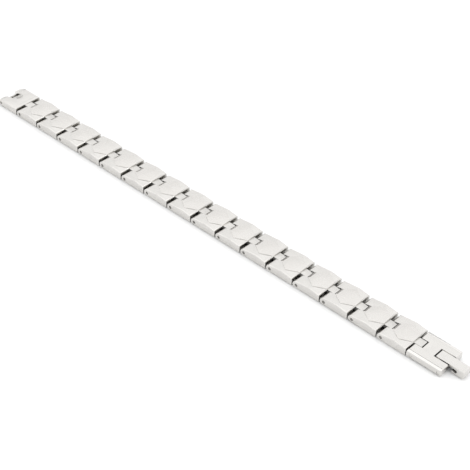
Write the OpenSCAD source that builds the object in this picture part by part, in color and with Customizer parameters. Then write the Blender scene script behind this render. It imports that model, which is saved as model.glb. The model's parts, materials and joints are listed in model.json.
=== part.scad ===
// Magnetic bracelet: polished steel links on hinge pins, laid out straight and unfastened.
// X runs along the band from the slotted end link to the clasp hook, Y across it, Z up.
// The origin is under the middle of the whole piece, on the surface that it lies on.

/* [Band] */
// Number of main links between the two end links
link_count = 16; // [8:1:18]
// Distance from one hinge pin to the next
pitch = 11.3; // [10.5:0.1:13]
// Width of the band across the links
band_w = 11.7; // [10.5:0.1:14]

/* [Hinges] */
// Diameter of each hinge pin
pin_d = 1; // [0.8:0.05:1.2]
// Gap all round a pin in its bore
pin_fit = 0.05; // [0.04:0.01:0.1]
// Radius of the round lugs, and so the height of the pins
lug_r = 1.45; // [1.35:0.05:1.55]
// Distance from the neighbour's end face to the pin axis
pin_inset = 1.9; // [1.7:0.05:2]
// How far the hinge pins sit inside their bores
pin_recess = 0.5; // [0.1:0.1:1]
// How far the pins of the clasp link sit inside their bores
clasp_pin_recess = 0.1; // [0.05:0.05:0.5]
// Width of the tongue that reaches into the next link
tongue_w = 3.1; // [2.8:0.1:4]
// Height of the flat top of the tongue
tongue_h = 2.8; // [2.6:0.05:2.9]
// How far the tongue reaches past the pin axis
tongue_reach = 1; // [0.9:0.05:1.3]
// Radius of the lower corner of the tongue's tip
tongue_low_r = 1; // [0.5:0.05:1.1]
// Radius of the upper corner of the tongue's tip
tongue_top_r = 0.3; // [0.2:0.05:0.6]
// Gap between the tongue and the surface under it
tongue_lift = 0.15; // [0.05:0.05:0.4]
// Gap on each side of the tongue in its notch
notch_side_gap = 0.2; // [0.15:0.05:0.4]
// Gap between the tip of the tongue and the end wall of its notch
notch_end_gap = 0.4; // [0.25:0.05:0.7]

/* [Main link] */
// Height of a main link at its crest
crest_h = 3.7; // [3.5:0.05:4.2]
// Radius of the arch that its top follows along the band
arch_r = 20; // [16:1:40]
// Distance from the side face to the front corner of the raised hexagon
hex_margin = 1.4; // [0.9:0.05:2]
// Height of the little step round the raised hexagon
hex_step = 0.12; // [0.05:0.01:0.2]
// Height of the side face where it meets the lug
side_h_lug = 2.95; // [2.75:0.05:3.05]
// Height of the side face at the square end of the link
side_h_end = 3.05; // [2.8:0.05:3.1]
// Width of the bevel along the upper edges
edge_bevel = 0.25; // [0.1:0.05:0.4]
// Height of the bevel along the upper edge of the square end
end_bevel = 0.25; // [0.1:0.05:0.4]
// Slope of the flank between the round lug and the arched top, in degrees
flank_slope = 30; // [25:1:45]
// Width of the bevel along the lower edges
foot_bevel = 0.4; // [0.1:0.05:0.5]

/* [Magnets] */
// Diameter of the round magnet under each main link
magnet_d = 5; // [3:0.1:5.8]
// Thickness of the magnet
magnet_t = 1.4; // [0.8:0.1:1.6]
// Gap round the magnet in its pocket
magnet_fit = 0.05; // [0.04:0.01:0.15]
// How far the magnet sits above the underside of the link
magnet_recess = 0.1; // [0.05:0.05:0.3]

/* [Slotted end link] */
// Length of the slotted end link
fork_len = 10.9; // [10.6:0.05:12]
// Height of the slotted end link at its crest
fork_h = 3.3; // [3:0.05:3.5]
// Distance from its free end to the crest
fork_crest = 7.5; // [6:0.1:9]
// Height of its side face
fork_side_h = 2.75; // [2.3:0.05:2.85]
// Radius of its rounded free end
fork_nose_r = 1.5; // [1.3:0.05:1.6]
// Radius of the corners of its two arms, seen from above
arm_corner_r = 1.4; // [0.8:0.1:1.5]
// Length of the slot, measured from the free end
fork_slot_len = 6.8; // [6.2:0.1:7.4]
// Distance from the free end to the clasp bar
bar_inset = 2.1; // [1.9:0.05:2.2]
// Height of the clasp bar above the surface
bar_z = 1.6; // [1.5:0.05:1.7]
// Diameter of the clasp bar
bar_d = 0.9; // [0.7:0.05:1]
// Gap round the clasp bar in its bore
bar_fit = 0.05; // [0.04:0.01:0.1]
// Gap on each side of the hook in the slot
hook_side_gap = 0.15; // [0.1:0.05:0.4]

/* [Clasp link] */
// Length of the clasp link from the neighbour's end face
clasp_len = 13.15; // [12.6:0.05:15]
// Gap between the clasp link and the neighbour's end face
clasp_gap = 0.35; // [0.25:0.05:0.6]
// Height of the flat top of the clasp link
clasp_h = 2.9; // [2.85:0.05:3]
// Height of its underside above the surface
clasp_lift = 0.3; // [0.1:0.05:0.4]
// Height of the upper edge of its side face
clasp_side_h = 2.65; // [2.3:0.05:2.75]
// Radius of the upper and lower corners at its ends
clasp_end_r = 0.5; // [0.3:0.05:0.6]
// Radius of the corners of its two prongs, seen from above
prong_corner_r = 0.9; // [0.5:0.1:1.5]
// Width of the bevel along the top of both end links
end_bevel_w = 1; // [0.6:0.05:1.4]
// Height of the step at the inner edge of that bevel
end_step = 0.1; // [0.05:0.01:0.15]
// Length of the lever's slot, measured from the ends of the prongs
slot_len = 5.45; // [5.2:0.05:6.4]
// Gap on each side of the lever in its slot
lever_side_gap = 0.35; // [0.2:0.05:0.5]
// Length of the ledge that the lever rests on
ledge_len = 2.5; // [1.5:0.1:2.8]
// Distance from the ends of the prongs to the lever's pivot
pivot_inset = 1.1; // [1.05:0.05:1.3]

/* [Lever] */
// Width of the lever and its hook
hook_w = 3.65; // [3:0.05:4]
// Height of the top of the lever
lever_h = 3.05; // [3:0.05:3.3]
// Thickness of the lever's top plate
plate_t = 0.8; // [0.7:0.05:0.85]
// Fingernail gap at the closed end of the slot
nail_gap = 0.6; // [0.3:0.05:0.9]
// Gap between the plate and the ledge under it
rest_gap = 0.05; // [0.03:0.01:0.1]
// Radius of the eye round the pivot pin
eye_r = 1.1; // [0.95:0.05:1.15]
// How far the lever reaches past the clasp link
hook_reach = 5.65; // [5.3:0.05:6]
// Distance from the clasp link's end to the middle of the hook's pocket
pocket_reach = 2.3; // [2.2:0.05:2.4]
// Gap round the clasp bar in the pocket
pocket_fit = 0.2; // [0.1:0.05:0.25]
// Extra width of the mouth over the clasp bar
mouth_fit = 0.05; // [0.04:0.01:0.1]
// Height of the underside of the hook above the surface
hook_lift = 0.3; // [0.2:0.05:0.4]
// Radius of the lower corner of its nose
nose_low_r = 0.8; // [0.4:0.05:1.1]
// Radius of the upper corner of its nose
nose_top_r = 0.6; // [0.3:0.05:1]
// Width of the small bevel along the top of the lever
lever_bevel = 0.1; // [0.05:0.05:0.25]

/* [Hidden] */
steel = [0.82, 0.82, 0.81];
bright_steel = [0.88, 0.88, 0.87];
dark_steel = [0.45, 0.45, 0.46];
arc_fn = 96;
// How far inside its round lug the flank of a link starts, so that the two meet in a small crease
lug_crease = 0.05;
// How far round corners in the plan of an end link reach past its end, so that they cross it at an angle
plan_lead = 0.1;
// Extra reach of a cutting solid past the face that it cuts
over = 1;
cut_size = 60;

pin_z = lug_r;
bore_d = pin_d + 2 * pin_fit;
notch_w = tongue_w + 2 * notch_side_gap;
notch_end = pin_inset + tongue_reach + notch_end_gap;
hex_x = (notch_end + pitch) / 2;
hex_y = band_w / 2 - hex_margin;
pocket_d = magnet_d + 2 * magnet_fit;
pocket_t = magnet_t + magnet_recess + magnet_fit;

fork_x = pitch - fork_len;
bar_x = fork_x + bar_inset;
fork_slot_w = hook_w + 2 * hook_side_gap;
lever_slot_w = hook_w + 2 * lever_side_gap;
plate_z = lever_h - plate_t;
ledge_z = plate_z - rest_gap;
slot_x = clasp_len - slot_len;
pivot_x = clasp_len - pivot_inset;
lever_x = slot_x + nail_gap;
hook_x = clasp_len + hook_reach;
pocket_x = clasp_len + pocket_reach;
hook_pocket_r = bar_d / 2 + pocket_fit;
mouth_w = bar_d + mouth_fit;
lip_z = plate_z - mouth_w;
eye_end = pivot_x + eye_r;
lip_x = eye_end + mouth_w;

clasp_s = (link_count + 1) * pitch;
middle_x = (fork_x + clasp_s + hook_x) / 2;

LINKS = [for (i = [1 : link_count]) str("link_", i < 10 ? "0" : "", i)];
PINS = [for (i = [1 : link_count + 1]) str("hinge_pin_", i < 10 ? "0" : "", i)];
MAGNETS = [for (i = [1 : link_count]) str("magnet_", i < 10 ? "0" : "", i)];

// Height of the arched top of a main link at the place x
function arch_z(x) = crest_h - arch_r + sqrt(arch_r * arch_r - (x - hex_x) * (x - hex_x));

// Slopes along X and Y of the plane through three points
function slopes(a, b, c) =
    let (n = cross(b - a, c - a))
    [-n[0] / n[2], -n[1] / n[2]];

// Solid above the plane that passes through p with the slopes g
module above(p, g) {
    n = sqrt(1 + g[0] * g[0] + g[1] * g[1]);
    translate(p)
        rotate([asin(g[1] / n), -atan(g[0]), 0])
            translate([-cut_size / 2, -cut_size / 2, 0])
                cube(cut_size);
}

// Outline in X and Z made w wide along Y
module across(w) {
    rotate([90, 0, 0])
        linear_extrude(w, center = true)
            children();
}

// Outline in Y and Z made long along X, from x0 to x1
module along(x0, x1) {
    translate([x0, 0, 0])
        rotate([90, 0, 90])
            linear_extrude(x1 - x0)
                children();
}

// Bore or pin across the band
module cross_bar(x, z, d, w) {
    translate([x, 0, z])
        rotate([90, 0, 0])
            cylinder(h = w, d = d, center = true, $fn = arc_fn);
}

// Large disc whose top is an arch with its crest at the given point
module arch_disc(x, z, r) {
    translate([x, z - r])
        circle(r = r, $fn = 4 * arc_fn);
}

// Side view of a main link: a round lug, a flank that rises from it, and the body
module link_side() {
    flank_r = lug_r - lug_crease;
    flank = [pin_inset - flank_r * sin(flank_slope), pin_z + flank_r * cos(flank_slope)];
    translate([pin_inset, pin_z])
        circle(r = lug_r, $fn = arc_fn);
    polygon([
        flank,
        [pin_inset, 0],
        [pitch, 0],
        [pitch, crest_h],
        [flank[0] + (crest_h - flank[1]) / tan(flank_slope), crest_h]
    ]);
}

// Outline that is the same on both sides of the middle, from the points of its positive side
module both_sides(half) {
    polygon(concat(half, [for (i = [len(half) - 1 : -1 : 0]) [-half[i][0], half[i][1]]]));
}

// Cross-section of a main link: square sides with bevelled lower edges
module link_section() {
    both_sides([
        [band_w / 2 - foot_bevel, 0],
        [band_w / 2, foot_bevel],
        [band_w / 2, crest_h + over]
    ]);
}

// Cross-section of an end link, whose upper edges have a wide bevel under a small step
module end_section(foot, side_h, h) {
    inner = band_w / 2 - end_bevel_w;
    both_sides([
        [band_w / 2 - foot_bevel, foot],
        [band_w / 2, foot + foot_bevel],
        [band_w / 2, side_h],
        [inner, h - end_step],
        [inner, h + over]
    ]);
}

// Rectangle between two corners, whose own corners have one radius below and one above
module rounded(x0, z0, x1, z1, low_r, top_r) {
    translate([x0, z0 + low_r])
        square([x1 - x0, z1 - z0 - low_r - top_r]);
    translate([x0 + low_r, z0])
        square([x1 - x0 - 2 * low_r, z1 - z0 - top_r]);
    translate([x0 + top_r, z0 + low_r])
        square([x1 - x0 - 2 * top_r, z1 - z0 - low_r]);
    for (x = [x0 + low_r, x1 - low_r])
        translate([x, z0 + low_r])
            circle(r = low_r, $fn = arc_fn);
    for (x = [x0 + top_r, x1 - top_r])
        translate([x, z1 - top_r])
            circle(r = top_r, $fn = arc_fn);
}

// Tongue at the square end of a link, round the next pin
module tongue() {
    across(tongue_w)
        rounded(
            pitch - 2 * over, tongue_lift, pitch + pin_inset + tongue_reach, tongue_h,
            tongue_low_r, tongue_top_r
        );
}

module notch() {
    translate([-over, -notch_w / 2, -over])
        cube([notch_end + over, notch_w, crest_h + 2 * over]);
}

// Plan of the raised hexagon, carried on past both ends of the link
module hexagon_plan() {
    half = [
        [-over, notch_w / 2],
        [notch_end, notch_w / 2],
        [hex_x, hex_y],
        [pitch, notch_w / 2],
        [pitch + over, notch_w / 2]
    ];
    polygon(concat(half, [for (i = [len(half) - 1 : -1 : 0]) [half[i][0], -half[i][1]]]));
}

// Flat facet from the hexagon down to one upper corner of the link, and the bevel of the edge there
module corner_cut(end_x, outer_x, outer_z) {
    side = band_w / 2;
    vertex = [hex_x, hex_y, arch_z(hex_x) - hex_step];
    inner = [end_x, notch_w / 2, arch_z(end_x) - hex_step];
    outer = [outer_x, side, outer_z];
    g = slopes(vertex, inner, outer);
    difference() {
        above(outer, g);
        linear_extrude(cut_size)
            hexagon_plan();
    }
    above(outer - [0, 0, edge_bevel], [g[0], -1]);
}

// Bevel of the upper edge at the square end, on the hexagon and on the facet beside it
module end_cut() {
    hex_z = arch_z(pitch);
    facet_slope = (side_h_end - hex_z + hex_step) / ((band_w - notch_w) / 2);
    above([pitch, 0, hex_z - end_bevel], [-1, 0]);
    difference() {
        above([pitch, band_w / 2, side_h_end - end_bevel], [-1, facet_slope]);
        linear_extrude(cut_size)
            hexagon_plan();
    }
}

module main_link() {
    color(steel)
        difference() {
            union() {
                difference() {
                    intersection() {
                        across(band_w)
                            intersection() {
                                link_side();
                                arch_disc(hex_x, crest_h, arch_r);
                            }
                        along(-over, pitch + over)
                            link_section();
                    }
                    for (side = [0, 1]) {
                        mirror([0, side, 0]) {
                            corner_cut(pitch, pitch, side_h_end);
                            corner_cut(notch_end, pin_inset, side_h_lug);
                            end_cut();
                        }
                    }
                    notch();
                }
                tongue();
            }
            translate([hex_x, 0, -over])
                cylinder(h = pocket_t + over, d = pocket_d, $fn = arc_fn);
            cross_bar(pin_inset, pin_z, bore_d, band_w + over);
            cross_bar(pitch + pin_inset, pin_z, bore_d, band_w + over);
        }
}

module magnet() {
    color(dark_steel)
        translate([hex_x, 0, magnet_recess])
            cylinder(h = magnet_t, d = magnet_d, $fn = arc_fn);
}

module hinge_pin(recess) {
    color(bright_steel)
        cross_bar(pin_inset, pin_z, pin_d, band_w - 2 * recess);
}

// Slot that is open at the free end and round at the other
module fork_slot() {
    round_x = fork_x + fork_slot_len - fork_slot_w / 2;
    translate([fork_x - over, -fork_slot_w / 2, -over])
        cube([round_x - fork_x + over, fork_slot_w, fork_h + 2 * over]);
    translate([round_x, 0, -over])
        cylinder(h = fork_h + 2 * over, d = fork_slot_w, $fn = arc_fn);
}

// Plan of the slotted end link, with round corners on both arms
module fork_plan() {
    plan_x = fork_x - plan_lead;
    outer_y = band_w / 2 - arm_corner_r;
    inner_y = fork_slot_w / 2 + arm_corner_r;
    translate([plan_x + arm_corner_r, -band_w / 2])
        square([pitch + over - plan_x - arm_corner_r, band_w]);
    for (side = [-1, 1]) {
        translate([plan_x, side * (outer_y + inner_y) / 2 - (outer_y - inner_y) / 2])
            square([2 * arm_corner_r, outer_y - inner_y]);
        for (y = [inner_y, outer_y])
            translate([plan_x + arm_corner_r, side * y])
                circle(r = arm_corner_r, $fn = arc_fn);
    }
}

module fork_side() {
    intersection() {
        union() {
            translate([fork_x + fork_nose_r, fork_nose_r])
                circle(r = fork_nose_r, $fn = arc_fn);
            translate([fork_x + fork_nose_r, 0])
                square([fork_len - fork_nose_r, fork_h]);
        }
        arch_disc(fork_x + fork_crest, fork_h, arch_r);
    }
}

module fork_link() {
    color(steel)
        difference() {
            union() {
                intersection() {
                    across(band_w)
                        fork_side();
                    along(fork_x - over, pitch + over)
                        end_section(0, fork_side_h, fork_h);
                    translate([0, 0, -over])
                        linear_extrude(fork_h + 2 * over)
                            fork_plan();
                }
                tongue();
            }
            fork_slot();
            cross_bar(bar_x, bar_z, bar_d + 2 * bar_fit, band_w + over);
            cross_bar(pitch + pin_inset, pin_z, bore_d, band_w + over);
        }
}

module clasp_bar() {
    color(bright_steel)
        cross_bar(bar_x, bar_z, bar_d, band_w - 2 * pin_recess);
}

// Slot for the lever: a ledge at its closed end, and open right through beyond the ledge
module lever_slot() {
    translate([slot_x, -lever_slot_w / 2, ledge_z])
        cube([slot_len + over, lever_slot_w, clasp_h]);
    translate([slot_x + ledge_len, -lever_slot_w / 2, -over])
        cube([slot_len + over - ledge_len, lever_slot_w, clasp_h + over]);
}

module clasp_link() {
    color(steel)
        difference() {
            intersection() {
                across(band_w)
                    rounded(clasp_gap, clasp_lift, clasp_len, clasp_h, clasp_end_r, clasp_end_r);
                along(-over, clasp_len + over)
                    end_section(clasp_lift, clasp_side_h, clasp_h);
                linear_extrude(clasp_h + over)
                    rounded(
                        -clasp_len, -band_w / 2, clasp_len + plan_lead, band_w / 2,
                        prong_corner_r, prong_corner_r
                    );
            }
            notch();
            lever_slot();
            cross_bar(pin_inset, pin_z, bore_d, band_w + over);
            cross_bar(pivot_x, pin_z, bore_d, band_w + over);
        }
}

module lever_pin() {
    color(bright_steel)
        cross_bar(pivot_x, pin_z, pin_d, band_w - 2 * clasp_pin_recess);
}

// Side view of the lever: plate, eye round the pivot, nose and the lip that returns under it
module lever_side() {
    lip_r = (lip_z - hook_lift) / 2;
    translate([lever_x, plate_z])
        square([pocket_x + nose_top_r - lever_x, plate_t]);
    translate([pivot_x, pin_z])
        circle(r = eye_r, $fn = arc_fn);
    translate([pivot_x - eye_r, pin_z])
        square([2 * eye_r, plate_z + plate_t / 2 - pin_z]);
    rounded(pocket_x - nose_low_r, hook_lift, hook_x, lever_h, nose_low_r, nose_top_r);
    translate([lip_x + lip_r, hook_lift])
        square([pocket_x - lip_x, lip_z - hook_lift]);
    translate([lip_x + lip_r, hook_lift + lip_r])
        circle(r = lip_r, $fn = arc_fn);
}

module lever_section() {
    both_sides([
        [hook_w / 2, 0],
        [hook_w / 2, lever_h - lever_bevel],
        [hook_w / 2 - lever_bevel, lever_h]
    ]);
}

module clasp_lever() {
    color(bright_steel)
        difference() {
            intersection() {
                across(hook_w)
                    lever_side();
                along(lever_x - over, hook_x + over)
                    lever_section();
            }
            cross_bar(pocket_x, bar_z, 2 * hook_pocket_r, hook_w + over);
            translate([eye_end, -hook_w, lip_z])
                cube([pocket_x - eye_end, 2 * hook_w, mouth_w]);
            cross_bar(pivot_x, pin_z, bore_d, hook_w + over);
        }
}

// Moves a piece from its own joint plane to its place in the band
module at_station(i) {
    translate([i * pitch - middle_x, 0, 0])
        children();
}

at_station(0) fork_link();
at_station(0) clasp_bar();
for (i = [1 : link_count]) {
    at_station(i) main_link();
    at_station(i) magnet();
    at_station(i) hinge_pin(pin_recess);
}
at_station(link_count + 1) hinge_pin(clasp_pin_recess);
at_station(link_count + 1) clasp_link();
at_station(link_count + 1) clasp_lever();
at_station(link_count + 1) lever_pin();
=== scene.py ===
import json
import math

import bmesh
import bpy
from mathutils import Matrix, Vector

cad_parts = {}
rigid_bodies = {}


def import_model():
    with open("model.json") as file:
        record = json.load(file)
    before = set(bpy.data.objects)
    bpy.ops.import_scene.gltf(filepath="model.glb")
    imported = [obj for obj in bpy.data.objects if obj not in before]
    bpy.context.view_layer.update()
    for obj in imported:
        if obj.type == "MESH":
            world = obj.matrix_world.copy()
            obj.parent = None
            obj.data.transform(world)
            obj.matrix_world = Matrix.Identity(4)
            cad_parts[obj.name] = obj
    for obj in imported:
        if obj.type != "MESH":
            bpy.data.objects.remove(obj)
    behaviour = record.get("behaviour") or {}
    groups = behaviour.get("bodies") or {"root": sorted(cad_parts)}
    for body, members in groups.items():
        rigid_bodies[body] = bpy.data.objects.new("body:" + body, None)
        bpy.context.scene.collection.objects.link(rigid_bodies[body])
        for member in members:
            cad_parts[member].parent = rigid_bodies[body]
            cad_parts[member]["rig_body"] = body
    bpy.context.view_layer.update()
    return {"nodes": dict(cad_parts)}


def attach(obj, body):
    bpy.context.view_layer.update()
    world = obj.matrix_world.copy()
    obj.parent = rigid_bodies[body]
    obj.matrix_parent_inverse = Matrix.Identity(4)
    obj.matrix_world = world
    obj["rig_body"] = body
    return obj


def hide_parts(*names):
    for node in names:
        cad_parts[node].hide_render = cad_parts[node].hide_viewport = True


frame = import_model()

# Sizes of the band in millimetres, as in the part's source
PITCH = 11.3
BAND_W = 11.7
LINK_COUNT = 16
NOTCH_W = 3.5
NOTCH_END = 3.3
HEX_X = (NOTCH_END + PITCH) / 2
HEX_Y = 4.45
CREST_H = 3.7
ARCH_R = 20.0
PIN_INSET = 1.9
PIN_Z = 1.45
BORE_R = 0.55
FORK_X = 0.4
FORK_SLOT_END = FORK_X + 6.8
FORK_SLOT_W = 3.95
BAR_X = FORK_X + 2.1
BAR_Z = 1.6
BAR_BORE_R = 0.5
CLASP_LEN = 13.15
SLOT_X = CLASP_LEN - 5.45
SLOT_W = 4.35
LEDGE_Z = 2.2
PIVOT_X = CLASP_LEN - 1.1
PLATE_Z = 2.25
POCKET_X = CLASP_LEN + 2.3
POCKET_R = 0.65
HOOK_X = CLASP_LEN + 5.65
MIDDLE_X = (FORK_X + (LINK_COUNT + 1) * PITCH + HOOK_X) / 2
BEVEL_Y = BAND_W / 2 - 1.0
CLASP_START = (LINK_COUNT + 1) * PITCH - MIDDLE_X
MM = 0.001

# The raised hexagon: its strips along the band with the cuts on each side of the middle one, and the lean of
# its normals per millimetre from the middle
STRIP_W = 0.9
SIDE_CUTS = 4
CROWN_LEAN = 0.028

# The step round the raised hexagon: how far from its edge and how far below its top the step's faces lie
HEX_STEP_NEAR = 0.15
HEX_STEP_DEEP = 0.2

# Roundings of the edges in millimetres, that of the edges of small steps, and the faces across a rounding of
# the two end links
LINK_ROUND = 0.09
MAGNET_ROUND = 0.08
FORK_ROUND = 0.1
CLASP_ROUND = 0.14
LEVER_ROUND = 0.05
PIN_ROUND = 0.04
STEP_ROUND = 0.03
END_SEGMENTS = 3

# A step is small where a face beside its edge is narrower than this many roundings
STEP_SHARE = 2.2

# Angles between neighbouring faces: in one flat face, in one curved surface, and at an edge that is rounded
FLAT_ANGLE = math.radians(0.4)
CURVE_STEP = math.radians(16)
ROUND_FROM = math.radians(24)

# Closeness in millimetres: of vertices that are one, and of a face's middle to a bore's wall, to the side of
# the band and to the other limits of its part
MERGE = 0.0005
BORE_NEAR = 0.02
SIDE_NEAR = 0.08
NEAR = 0.06

# Parts of a face's unit normal along an axis: from almost all of it to half, a bevel's tilt, and almost none
END_SQUARE = 0.95
SQUARE = 0.9
STEEP = 0.8
LEANING = 0.7
UPWARD = 0.6
HALFWAY = 0.5
BEVEL_TILT = 0.1
LEVEL = 0.005

# Normals are weighed by this power of a face's width, and lengths below the tiny one are taken as nothing
WIDTH_POWER = 3
TINY = 1e-12

# Camera, fitted to the pin holes and gaps of the photograph. Its places are in metres, and its lens and
# sensor in millimetres
CAMERA_AZ = math.radians(39.99)
CAMERA_EL = math.radians(39.21)
CAMERA_ROLL = math.radians(3.506)
CAMERA_DISTANCE = 0.41889
CAMERA_TARGET = Vector((0.01118, 0.00038, 0.0))
CAMERA_LENS = 95.19
CAMERA_SENSOR = 36.0

# Surroundings: the sine of an angle above the level, and the brightness there, which the strength multiplies
SKY = ((0.0, 0.85), (0.40, 0.88), (0.53, 0.89), (0.63, 0.96), (0.70, 1.0), (0.85, 1.0), (1.0, 0.95))
SKY_STRENGTH = 1.3

# Floor: half its side in metres, and the two tones of its soft clouds
FLOOR_HALF = 3.0
FLOOR_TONES = ((0.875, 0.875, 0.875), (0.89, 0.89, 0.89))

# Hair scratches of the steel: each set's turn in radians and how close it lies along the axes, how far from
# the middle its noise still gives a hair, and the hair's tone, cover, roughness and depth in millimetres
HAIRS = ((0.35, (0.25, 9.0, 9.0)), (-0.6, (0.3, 7.0, 7.0)), (1.3, (0.35, 8.0, 8.0)))
HAIR_HALF = 0.006
HAIR_TONE = (0.95, 0.94, 0.92)
HAIR_COVER = 0.35
HAIR_ROUGH = 0.15
HAIR_DEPTH = 0.002

# How much rougher the fine specks of the steel are
SPECK_ROUGH = 0.05

MAGNET_DARK = (0.055, 0.055, 0.06)
MAGNET_LIGHT = (0.12, 0.12, 0.125)

# Numbers of the sockets of a mix node for colours, whose names aren't unique
MIX_FACTOR = 0
MIX_A = 6
MIX_B = 7
MIX_RESULT = 2


# Shader building blocks

def material(name):
    m = bpy.data.materials.new(name)
    m.use_nodes = True
    m.node_tree.nodes.clear()
    return m


class Nodes:
    """Adds nodes to one material's tree and joins them."""

    def __init__(self, mat):
        self.tree = mat.node_tree

    def add(self, kind, **values):
        n = self.tree.nodes.new(kind)
        for k, v in values.items():
            setattr(n, k, v)
        return n

    def join(self, a, b):
        self.tree.links.new(a, b)

    def put(self, node, socket, value):
        if isinstance(value, bpy.types.NodeSocket):
            self.join(value, node.inputs[socket])
        else:
            node.inputs[socket].default_value = value

    def math(self, op, a, b=0.0, clamp=False):
        n = self.add("ShaderNodeMath", operation=op, use_clamp=clamp)
        self.put(n, 0, a)
        self.put(n, 1, b)
        return n.outputs[0]

    def scaled(self, coords, scale, turn=(0.0, 0.0, 0.0)):
        n = self.add("ShaderNodeMapping", vector_type="POINT")
        self.put(n, "Vector", coords)
        n.inputs["Scale"].default_value = scale
        n.inputs["Rotation"].default_value = turn
        return n.outputs[0]

    def noise(self, coords, scale, detail, roughness, distortion=0.0):
        n = self.add("ShaderNodeTexNoise")
        self.put(n, "Vector", coords)
        n.inputs["Scale"].default_value = scale
        n.inputs["Detail"].default_value = detail
        n.inputs["Roughness"].default_value = roughness
        n.inputs["Distortion"].default_value = distortion
        return n.outputs["Fac"]

    def millimetres(self):
        """The object's own coordinates in millimetres."""
        place = self.add("ShaderNodeTexCoord").outputs["Object"]
        return self.scaled(place, (1 / MM, 1 / MM, 1 / MM))

    def range(self, value, from_low, from_high, to_low=0.0, to_high=1.0):
        n = self.add("ShaderNodeMapRange")
        self.put(n, "Value", value)
        for socket, v in (("From Min", from_low), ("From Max", from_high),
                          ("To Min", to_low), ("To Max", to_high)):
            n.inputs[socket].default_value = v
        return n.outputs["Result"]

    def mix(self, fac, a, b):
        """Colour a where fac is 0 and b where it is 1, each a socket or red, green and blue."""
        n = self.add("ShaderNodeMix", data_type="RGBA")
        self.put(n, MIX_FACTOR, fac)
        for socket, v in ((MIX_A, a), (MIX_B, b)):
            if isinstance(v, tuple):
                v = (*v, 1.0)
            self.put(n, socket, v)
        return n.outputs[MIX_RESULT]

    def bump(self, height, depth, normal=None):
        """A normal bent by a height from 0 to 1, which stands for a depth in millimetres."""
        n = self.add("ShaderNodeBump")
        n.inputs["Strength"].default_value = 1.0
        n.inputs["Distance"].default_value = depth * MM
        self.join(height, n.inputs["Height"])
        if normal is not None:
            self.join(normal, n.inputs["Normal"])
        return n.outputs["Normal"]

    def surface(self, colour, roughness, others):
        """Joins a shader to the material's output. others gives its further inputs by name."""
        shader = self.add("ShaderNodeBsdfPrincipled")
        self.put(shader, "Base Color", colour)
        self.put(shader, "Roughness", roughness)
        for socket, value in others.items():
            self.put(shader, socket, value)
        out = self.add("ShaderNodeOutputMaterial")
        self.join(shader.outputs[0], out.inputs["Surface"])


def steel(name, light, dark, rough, rough_spread, grain, grain_depth, wave_depth, scratch=0.5):
    """Worked steel: brushed grain, long hair scratches, soft waves and smudges.

    grain is how close the grain lies along each axis, the depths are in millimetres, and scratch is how much
    the hair scratches show.
    """
    mat = material(name)
    t = Nodes(mat)
    mm = t.millimetres()
    grain_lines = t.noise(t.scaled(mm, grain), scale=1.0, detail=3.0, roughness=0.65)
    wave = t.noise(mm, scale=0.33, detail=1.5, roughness=0.4)
    smudge = t.noise(mm, scale=0.21, detail=4.0, roughness=0.6, distortion=0.8)
    speck = t.noise(mm, scale=9.0, detail=2.0, roughness=0.6)

    hairs = []
    for turn, stretch in HAIRS:
        lines = t.noise(t.scaled(mm, stretch, (0.0, 0.0, turn)), scale=1.0, detail=1.0, roughness=0.5)
        near = t.math("ABSOLUTE", t.math("SUBTRACT", lines, 0.5))
        hairs.append(t.range(near, 0.0, HAIR_HALF, to_low=1.0, to_high=0.0))
    hair = t.math("MAXIMUM", hairs[0], t.math("MAXIMUM", hairs[1], hairs[2]))
    gate = t.range(t.noise(mm, scale=0.7, detail=2.0, roughness=0.5), 0.5, 0.62)
    hair = t.math("MULTIPLY", hair, t.math("MULTIPLY", gate, scratch))

    tone = t.math("ADD", t.math("MULTIPLY", smudge, 0.7), t.math("MULTIPLY", grain_lines, 0.3))
    colour = t.mix(t.range(tone, 0.3, 0.7), dark, light)
    colour = t.mix(t.math("MULTIPLY", hair, HAIR_COVER), colour, HAIR_TONE)

    roughness = t.range(smudge, 0.25, 0.75, to_low=rough - rough_spread, to_high=rough + rough_spread)
    roughness = t.math("ADD", roughness, t.math("MULTIPLY", hair, HAIR_ROUGH))
    roughness = t.math("ADD", roughness, t.range(speck, 0.55, 0.8, to_high=SPECK_ROUGH), clamp=True)

    normal = t.bump(wave, wave_depth)
    normal = t.bump(grain_lines, grain_depth, normal)
    normal = t.bump(hair, -HAIR_DEPTH, normal)
    t.surface(colour, roughness, {"Metallic": 1.0, "Normal": normal})
    return mat


def ground_magnet(name):
    """Dark face of a magnet, ground along lines, with soft clouds."""
    mat = material(name)
    t = Nodes(mat)
    mm = t.millimetres()
    grinding = t.noise(t.scaled(mm, (14.0, 0.7, 14.0), (0.0, 0.0, 0.5)), scale=1.0, detail=3.0, roughness=0.6)
    clouds = t.noise(mm, scale=0.9, detail=4.0, roughness=0.6)
    colour = t.mix(t.range(clouds, 0.3, 0.7), MAGNET_DARK, MAGNET_LIGHT)
    roughness = t.range(grinding, 0.3, 0.7, to_low=0.35, to_high=0.55)
    t.surface(colour, roughness, {"Metallic": 0.6, "Normal": t.bump(grinding, 0.004)})
    return mat


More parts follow.
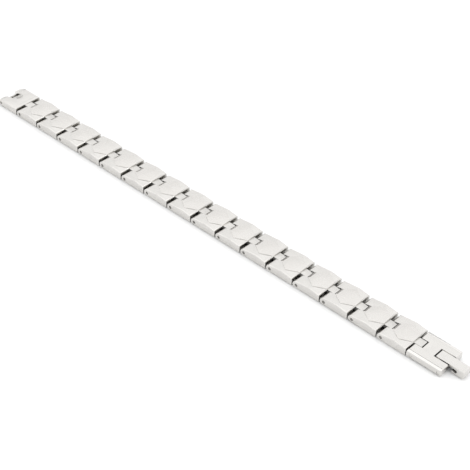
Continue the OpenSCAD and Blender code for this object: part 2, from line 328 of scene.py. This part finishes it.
POLISHED = steel("polished_steel", light=(0.70, 0.685, 0.66), dark=(0.645, 0.63, 0.608),
                 rough=0.20, rough_spread=0.05, grain=(0.5, 16.0, 16.0), grain_depth=0.0012, wave_depth=0.03)
SATIN = steel("satin_steel", light=(0.70, 0.682, 0.658), dark=(0.645, 0.628, 0.603), rough=0.26,
              rough_spread=0.05, grain=(18.0, 0.6, 18.0), grain_depth=0.0025, wave_depth=0.03, scratch=0.35)
# Lighter, glossier steel: a painted highlight on the hexagon's steps, the slot walls and the bevels; the
# whole clasp bar gets it too
HIGHLIGHT_STEEL = steel("bright_steel", light=(0.80, 0.785, 0.76), dark=(0.76, 0.745, 0.72),
               rough=0.14, rough_spread=0.04, grain=(0.5, 16.0, 16.0), grain_depth=0.0012, wave_depth=0.02)
SIDE = steel("side_steel", light=(0.70, 0.685, 0.66), dark=(0.64, 0.625, 0.603),
             rough=0.24, rough_spread=0.05, grain=(0.4, 14.0, 14.0), grain_depth=0.002, wave_depth=0.02)
# Darker steel with grain across: its darker colour is painted shade in bores, on link ends and on undersides
SHADED_WALL = steel("wall_steel_painted_shade", light=(0.58, 0.57, 0.55), dark=(0.50, 0.49, 0.47), rough=0.25,
             rough_spread=0.05, grain=(9.0, 9.0, 0.8), grain_depth=0.003, wave_depth=0.01, scratch=0.2)
# Near-black steel: painted shade in the gaps between parts, the notches, the slots and under the lever
GAP_SHADE = steel("painted_gap_shade", light=(0.17, 0.165, 0.16), dark=(0.11, 0.107, 0.104), rough=0.45,
            rough_spread=0.08, grain=(9.0, 9.0, 0.8), grain_depth=0.004, wave_depth=0.01, scratch=0.2)
TONGUE = steel("tongue_steel", light=(0.70, 0.685, 0.66), dark=(0.58, 0.565, 0.545), rough=0.26,
               rough_spread=0.05, grain=(0.35, 5.0, 5.0), grain_depth=0.006, wave_depth=0.01, scratch=0.3)
# Darker steel: painted shade on the pin ends that lie deep in their holes
SHADED_PIN = steel("pin_steel", light=(0.52, 0.515, 0.51), dark=(0.38, 0.375, 0.37), rough=0.32,
            rough_spread=0.06, grain=(6.0, 0.4, 6.0), grain_depth=0.002, wave_depth=0.005, scratch=0.2)
MAGNET = ground_magnet("magnet_face")
LINK_STEELS = (SATIN, POLISHED, SIDE, SHADED_WALL, TONGUE, GAP_SHADE, HIGHLIGHT_STEEL)
END_STEELS = (POLISHED, SIDE, GAP_SHADE, SHADED_WALL, HIGHLIGHT_STEEL)


# Meshes with softened edges, made from the solids of the frame

def arch_z(x):
    """Height of the arched top at the place x along a main link."""
    return CREST_H - ARCH_R + math.sqrt(ARCH_R ** 2 - (x - HEX_X) ** 2)


def hexagon_half(x):
    """Half the width of the raised hexagon at the place x along a main link."""
    span = HEX_X - NOTCH_END
    share = max(0.0, 1.0 - abs(x - HEX_X) / span)
    return NOTCH_W / 2 + (HEX_Y - NOTCH_W / 2) * share


def in_curve(e):
    """True for an edge inside a surface that curves round the Y or the Z axis."""
    one, two = (f.normal for f in e.link_faces)
    level = any(abs(one[axis]) < LEVEL and abs(two[axis]) < LEVEL for axis in (1, 2))
    return level and one.angle(two) <= CURVE_STEP


def softened(node, width, segments=2, fine=0.0, sharp_bores=()):
    """A bmesh of the node in millimetres with its outer edges rounded by width, and small steps by fine.

    The other edges stay sharp, apart from those inside a curved surface. So do the rims of the bores in
    sharp_bores, each given by its x, z and radius.
    """
    bm = bmesh.new()
    bm.from_mesh(frame["nodes"][node].data)
    bmesh.ops.transform(bm, matrix=Matrix.Scale(1 / MM, 4), verts=bm.verts)
    bmesh.ops.remove_doubles(bm, verts=bm.verts, dist=MERGE)
    bmesh.ops.dissolve_limit(bm, angle_limit=FLAT_ANGLE, use_dissolve_boundaries=False,
                             verts=bm.verts, edges=bm.edges, delimit=set())
    bm.normal_update()
    rounding = bm.faces.layers.int.new("rounding")
    steps, edges = [], []
    for e in bm.edges:
        if len(e.link_faces) != 2:
            continue
        rim = any(in_bore(f, *bore) for f in e.link_faces for bore in sharp_bores)
        if e.is_convex and e.calc_face_angle() > ROUND_FROM and not rim:
            small = min(min_width(f) for f in e.link_faces) < STEP_SHARE * width
            (steps if small else edges).append(e)
            e.smooth = True
        else:
            e.smooth = in_curve(e)
    for group, offset, count in ((steps, fine, 1), (edges, width, segments)):
        group = [e for e in group if e.is_valid]
        if offset and group:
            made = bmesh.ops.bevel(bm, geom=group, offset=offset, offset_type="OFFSET", segments=count,
                                   profile=0.5, affect="EDGES", clamp_overlap=False,
                                   miter_outer="SHARP", miter_inner="SHARP")
            for f in made["faces"]:
                f[rounding] = 1
                for e in f.edges:
                    e.smooth = True
    bmesh.ops.remove_doubles(bm, verts=bm.verts, dist=MERGE)
    bm.normal_update()
    return bm


def min_width(face):
    """Rough width of a face: twice its area over its perimeter."""
    return 2 * face.calc_area() / max(face.calc_perimeter(), TINY)


def fans(v):
    """Groups of the faces round a vertex that smooth edges join."""
    left = set(v.link_faces)
    while left:
        group, todo = set(), [left.pop()]
        while todo:
            f = todo.pop()
            group.add(f)
            for e in v.link_edges:
                if e.smooth and f in e.link_faces:
                    for other in e.link_faces:
                        if other in left:
                            left.remove(other)
                            todo.append(other)
        yield group


def corner_normals(bm, crown):
    """Normals per face corner: flat faces stay flat, and roundings run from one to the next.

    Wide faces count most. crown gives the extra lean of the normal at a place on a face, or None.
    """
    rounding = bm.faces.layers.int["rounding"]
    corner = {}
    for v in bm.verts:
        for group in fans(v):
            main = [f for f in group if not f[rounding]] or list(group)
            normal = Vector()
            for f in main:
                normal += f.normal * min_width(f) ** WIDTH_POWER
            if normal.length < TINY:
                normal = v.normal.copy()
            normal.normalize()
            lean = crown(max(main, key=min_width), v.co) if crown else None
            if lean:
                normal += lean
            for f in group:
                corner[f.index, v.index] = normal.normalized()
    return [corner[f.index, v.index] for f in bm.faces for v in f.verts]


def finished(bm, name, node, materials, choose=None, crown=None):
    """Makes the object for a node from a bmesh in millimetres.

    choose gives each face's material, and without it all faces get the first. crown is for corner_normals.
    """
    bm.faces.index_update()
    bm.verts.index_update()
    normals = corner_normals(bm, crown)
    for f in bm.faces:
        f.smooth = True
        f.material_index = materials.index(choose(f)) if choose else 0
    bmesh.ops.transform(bm, matrix=Matrix.Scale(MM, 4), verts=bm.verts)
    mesh = bpy.data.meshes.new(name)
    bm.to_mesh(mesh)
    bm.free()
    mesh.normals_split_custom_set(normals)
    for m in materials:
        mesh.materials.append(m)
    o = bpy.data.objects.new(name, mesh)
    bpy.context.scene.collection.objects.link(o)
    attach(o, frame["nodes"][node]["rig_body"])
    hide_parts(node)


def in_bore(f, x, z, r):
    """True for a wall face of a cross bore of radius r at x, z."""
    c = f.calc_center_bounds()
    return abs(f.normal.y) < HALFWAY and math.hypot(c.x - x, c.z - z) < r + BORE_NEAR


def on_plateau(f, start):
    """True for a face of the raised hexagon of the main link that starts at start."""
    c = f.calc_center_bounds()
    x, y = c.x - start, abs(c.y)
    return f.normal.z > UPWARD and x < PITCH and y < hexagon_half(x) + NEAR and c.z > arch_z(x) - NEAR


def link_chooser(station):
    """Gives the function that chooses the steel of each face of a main link, with painted shade in its bores,
    gaps, ends and notch and a painted highlight on the hexagon's step.
    """
    start = station * PITCH - MIDDLE_X
    bores = [(start + x, PIN_Z, BORE_R) for x in (PIN_INSET, PITCH + PIN_INSET)]

    def choose(f):
        c, n = f.calc_center_bounds(), f.normal
        x, y = c.x - start, abs(c.y)
        # Bore walls get painted shade
        if any(in_bore(f, *bore) for bore in bores):
            return SHADED_WALL
        if x > PITCH + NEAR and n.z > SQUARE:
            return TONGUE
        # The tongue's sides and tip get painted shade
        if x > PITCH + NEAR:
            return GAP_SHADE if abs(n.y) > SQUARE or n.x > HALFWAY else POLISHED
        if on_plateau(f, start):
            return SATIN
        # The step round the hexagon, between the notch and the middle, gets a painted highlight
        at_step = abs(y - hexagon_half(x)) < HEX_STEP_NEAR and c.z > arch_z(x) - HEX_STEP_DEEP
        if at_step and n.z < STEEP and NOTCH_END < x < HEX_X:
            return HIGHLIGHT_STEEL
        if y > BAND_W / 2 - SIDE_NEAR and abs(n.y) > LEANING:
            return SIDE
        # The link's ends and underside get painted shade
        at_end = n.x < -END_SQUARE and x < PIN_INSET or n.x > SQUARE and x > PITCH - NEAR
        if at_end or n.z < -HALFWAY:
            return SHADED_WALL
        # The notch walls get painted shade
        if x < NOTCH_END + NEAR and y < NOTCH_W / 2 + NEAR and n.z < HALFWAY:
            return GAP_SHADE
        return POLISHED
    return choose


def crowned_plateau(bm, station):
    """Cuts the raised hexagon into strips along the band, and gives the lean of its normals across it."""
    start = station * PITCH - MIDDLE_X
    for i in range(-SIDE_CUTS, SIDE_CUTS + 1):
        faces = [f for f in bm.faces if on_plateau(f, start)]
        edges = list({e for f in faces for e in f.edges})
        verts = list({v for f in faces for v in f.verts})
        bmesh.ops.bisect_plane(bm, geom=verts + edges + faces, dist=MERGE, plane_co=(0, i * STRIP_W, 0),
                               plane_no=(0, 1, 0))
    bm.normal_update()

    def crown(f, place):
        return Vector((0, CROWN_LEAN * place.y, 0)) if on_plateau(f, start) else None
    return crown


def end_chooser(start, bores, special):
    """Gives the function that chooses the steel of each face of an end link or the lever.

    special goes first. It gets the middle of a face, with x counted from start, and the face's normal, and
    gives a steel or None.
    """
    def choose(f):
        c, n = f.calc_center_bounds(), f.normal
        # Bore walls get painted shade
        if any(in_bore(f, *bore) for bore in bores):
            return SHADED_WALL
        found = special(c.x - start, c.y, c.z, n)
        if found is not None:
            return found
        return SIDE if abs(c.y) > BAND_W / 2 - SIDE_NEAR and abs(n.y) > LEANING else POLISHED
    return choose


def clasp_special(x, y, z, n):
    """Steel of the clasp link's notch, slot, ledge, steps, ends and bevels: painted shade in the notch, at
    the slot's end, on the ledge, at the steps and on the lug's end, and a painted highlight on the slot's
    rear wall and the bevels.
    """
    in_notch = x < NOTCH_END + NEAR and abs(y) < NOTCH_W / 2 + NEAR and n.z < HALFWAY
    slot_end = abs(x - SLOT_X) < NEAR and abs(y) < SLOT_W / 2 and n.x > HALFWAY
    ledge = x > SLOT_X and abs(y) < SLOT_W / 2 and z < LEDGE_Z + NEAR and abs(n.y) < HALFWAY
    step = abs(n.y) > SQUARE and abs(abs(y) - BEVEL_Y) < NEAR
    # Painted shade in the notch, at the slot's end, on the ledge and at the steps
    if in_notch or slot_end or ledge or step:
        return GAP_SHADE
    # Painted shade on the lug's end
    if x < PIN_INSET and n.x < -STEEP:
        return SHADED_WALL
    rear_wall = n.y < -SQUARE and abs(y - SLOT_W / 2) < NEAR
    bevel = n.z > SQUARE and abs(n.y) > BEVEL_TILT and abs(y) > BEVEL_Y
    # Painted highlight on the slot's rear wall and the bevels
    return HIGHLIGHT_STEEL if rear_wall or bevel else None


def fork_special(x, y, z, n):
    """Steel of the slotted link's tongue, square end and slot: painted shade on the tongue's sides and tip
    and on the square end, and a painted highlight on the slot's walls.
    """
    # The tongue's sides and tip get painted shade
    if x > PITCH + NEAR and (abs(n.y) > SQUARE or n.x > HALFWAY):
        return GAP_SHADE
    # The square end gets painted shade
    if abs(x - PITCH) < NEAR and n.x > LEANING:
        return SHADED_WALL
    in_slot = x < FORK_SLOT_END + NEAR and abs(y) < FORK_SLOT_W / 2 + NEAR and abs(n.z) < HALFWAY
    # The slot's walls get a painted highlight
    return HIGHLIGHT_STEEL if in_slot else None


def lever_special(x, y, z, n):
    """Painted shade on the lever's underside, its eye and the front side of its plate."""
    inner = abs(n.y) < HALFWAY and z < PLATE_Z + NEAR and x < POCKET_X + POCKET_R
    return GAP_SHADE if inner or n.y < -HALFWAY and x < CLASP_LEN else None


# The pieces, one for each node of the frame

def main_link(station):
    node = f"link_{station:02d}"
    bm = softened(node, LINK_ROUND, fine=STEP_ROUND)
    lean = crowned_plateau(bm, station)
    finished(bm, node + "_steel", node, LINK_STEELS, link_chooser(station), lean)


def magnet(station):
    node = f"magnet_{station:02d}"
    finished(softened(node, MAGNET_ROUND), node + "_disc", node, (MAGNET,))


def fork_link():
    bores = [(BAR_X - MIDDLE_X, BAR_Z, BAR_BORE_R), (PITCH + PIN_INSET - MIDDLE_X, PIN_Z, BORE_R)]
    bm = softened("fork_link", FORK_ROUND, END_SEGMENTS, fine=STEP_ROUND)
    finished(bm, "fork_link_steel", "fork_link", END_STEELS,
             end_chooser(-MIDDLE_X, bores, fork_special))


def clasp_link():
    bores = [(CLASP_START + x, PIN_Z, BORE_R) for x in (PIN_INSET, PIVOT_X)]
    bm = softened("clasp_link", CLASP_ROUND, END_SEGMENTS, fine=STEP_ROUND, sharp_bores=bores)
    finished(bm, "clasp_link_steel", "clasp_link", END_STEELS,
             end_chooser(CLASP_START, bores, clasp_special))


def clasp_lever():
    bores = [(CLASP_START + PIVOT_X, PIN_Z, BORE_R), (CLASP_START + POCKET_X, BAR_Z, POCKET_R)]
    bm = softened("clasp_lever", LEVER_ROUND, fine=STEP_ROUND)
    finished(bm, "clasp_lever_steel", "clasp_lever", END_STEELS,
             end_chooser(CLASP_START, bores, lever_special))


def pin(node, kind):
    finished(softened(node, PIN_ROUND), node + "_steel", node, (kind,))


for number in range(1, LINK_COUNT + 1):
    main_link(number)
    magnet(number)
fork_link()
clasp_link()
clasp_lever()

# The two pins of the clasp link end just inside its sides, and the others lie deeper in their holes and get
# darker steel as painted shade
flush_pins = (f"hinge_pin_{LINK_COUNT + 1:02d}", "lever_pin")
for node in frame["nodes"]:
    if node == "clasp_bar":
        # The clasp bar gets the lighter steel of the painted highlights
        pin(node, HIGHLIGHT_STEEL)
    elif node in flush_pins:
        pin(node, SIDE)
    elif node.startswith("hinge_pin"):
        pin(node, SHADED_PIN)


# Floor, light and camera

def stage_floor():
    mat = material("white_floor")
    t = Nodes(mat)
    place = t.add("ShaderNodeTexCoord").outputs["Object"]
    clouds = t.noise(t.scaled(place, (3.0, 3.0, 3.0)), scale=1.0, detail=2.0, roughness=0.5)
    t.surface(t.mix(clouds, *FLOOR_TONES), 0.9, {"Specular IOR Level": 0.1})
    mesh = bpy.data.meshes.new("floor")
    corners = [(x * FLOOR_HALF, y * FLOOR_HALF, 0.0) for x, y in ((-1, -1), (1, -1), (1, 1), (-1, 1))]
    mesh.from_pydata(corners, [], [(0, 1, 2, 3)])
    mesh.materials.append(mat)
    o = bpy.data.objects.new("floor", mesh)
    bpy.context.scene.collection.objects.link(o)


def soft_world():
    world = bpy.data.worlds.new("studio")
    world.use_nodes = True
    tree = world.node_tree
    tree.nodes.clear()
    coord = tree.nodes.new("ShaderNodeTexCoord")
    split = tree.nodes.new("ShaderNodeSeparateXYZ")
    ramp = tree.nodes.new("ShaderNodeValToRGB")
    back = tree.nodes.new("ShaderNodeBackground")
    out = tree.nodes.new("ShaderNodeOutputWorld")
    tree.links.new(coord.outputs["Generated"], split.inputs[0])
    tree.links.new(split.outputs[2], ramp.inputs[0])
    tree.links.new(ramp.outputs[0], back.inputs[0])
    tree.links.new(back.outputs[0], out.inputs[0])
    stops = ramp.color_ramp.elements
    for height, _ in SKY[1:-1]:
        stops.new(height)
    for stop, (height, bright) in zip(stops, SKY):
        stop.position = height
        stop.color = (bright, bright, bright, 1.0)
    back.inputs["Strength"].default_value = SKY_STRENGTH
    bpy.context.scene.world = world


def softbox(name, place, size, power):
    """A rectangular lamp that faces the middle of the bracelet."""
    data = bpy.data.lights.new(name, "AREA")
    data.shape = "RECTANGLE"
    data.size, data.size_y = size
    data.energy = power
    o = bpy.data.objects.new(name, data)
    o.location = place
    o.rotation_mode = "QUATERNION"
    o.rotation_quaternion = (-Vector(place)).to_track_quat("-Z", "Y")
    bpy.context.scene.collection.objects.link(o)


def photo_camera():
    az, el, roll = CAMERA_AZ, CAMERA_EL, CAMERA_ROLL
    back = Vector((math.sin(az) * math.cos(el), -math.cos(az) * math.cos(el), math.sin(el)))
    level = Vector((math.cos(az), math.sin(az), 0.0))
    upright = back.cross(level)
    right = math.cos(roll) * level + math.sin(roll) * upright
    up = math.cos(roll) * upright - math.sin(roll) * level
    data = bpy.data.cameras.new("photo_camera")
    data.lens = CAMERA_LENS
    data.sensor_width = CAMERA_SENSOR
    data.sensor_fit = "HORIZONTAL"
    data.clip_start = 0.01
    data.clip_end = 20.0
    o = bpy.data.objects.new("photo_camera", data)
    turn = Matrix((right, up, back)).transposed().to_4x4()
    turn.translation = CAMERA_TARGET + back * CAMERA_DISTANCE
    o.matrix_world = turn
    bpy.context.scene.collection.objects.link(o)
    bpy.context.scene.camera = o


stage_floor()
soft_world()
softbox("key_softbox", place=(0.9, 0.3, 0.9), size=(0.8, 0.8), power=2.0)
softbox("fill_softbox", place=(-0.65, -0.8, 0.78), size=(1.1, 0.8), power=0.6)
photo_camera()
bpy.context.scene.view_settings.view_transform = "Standard"
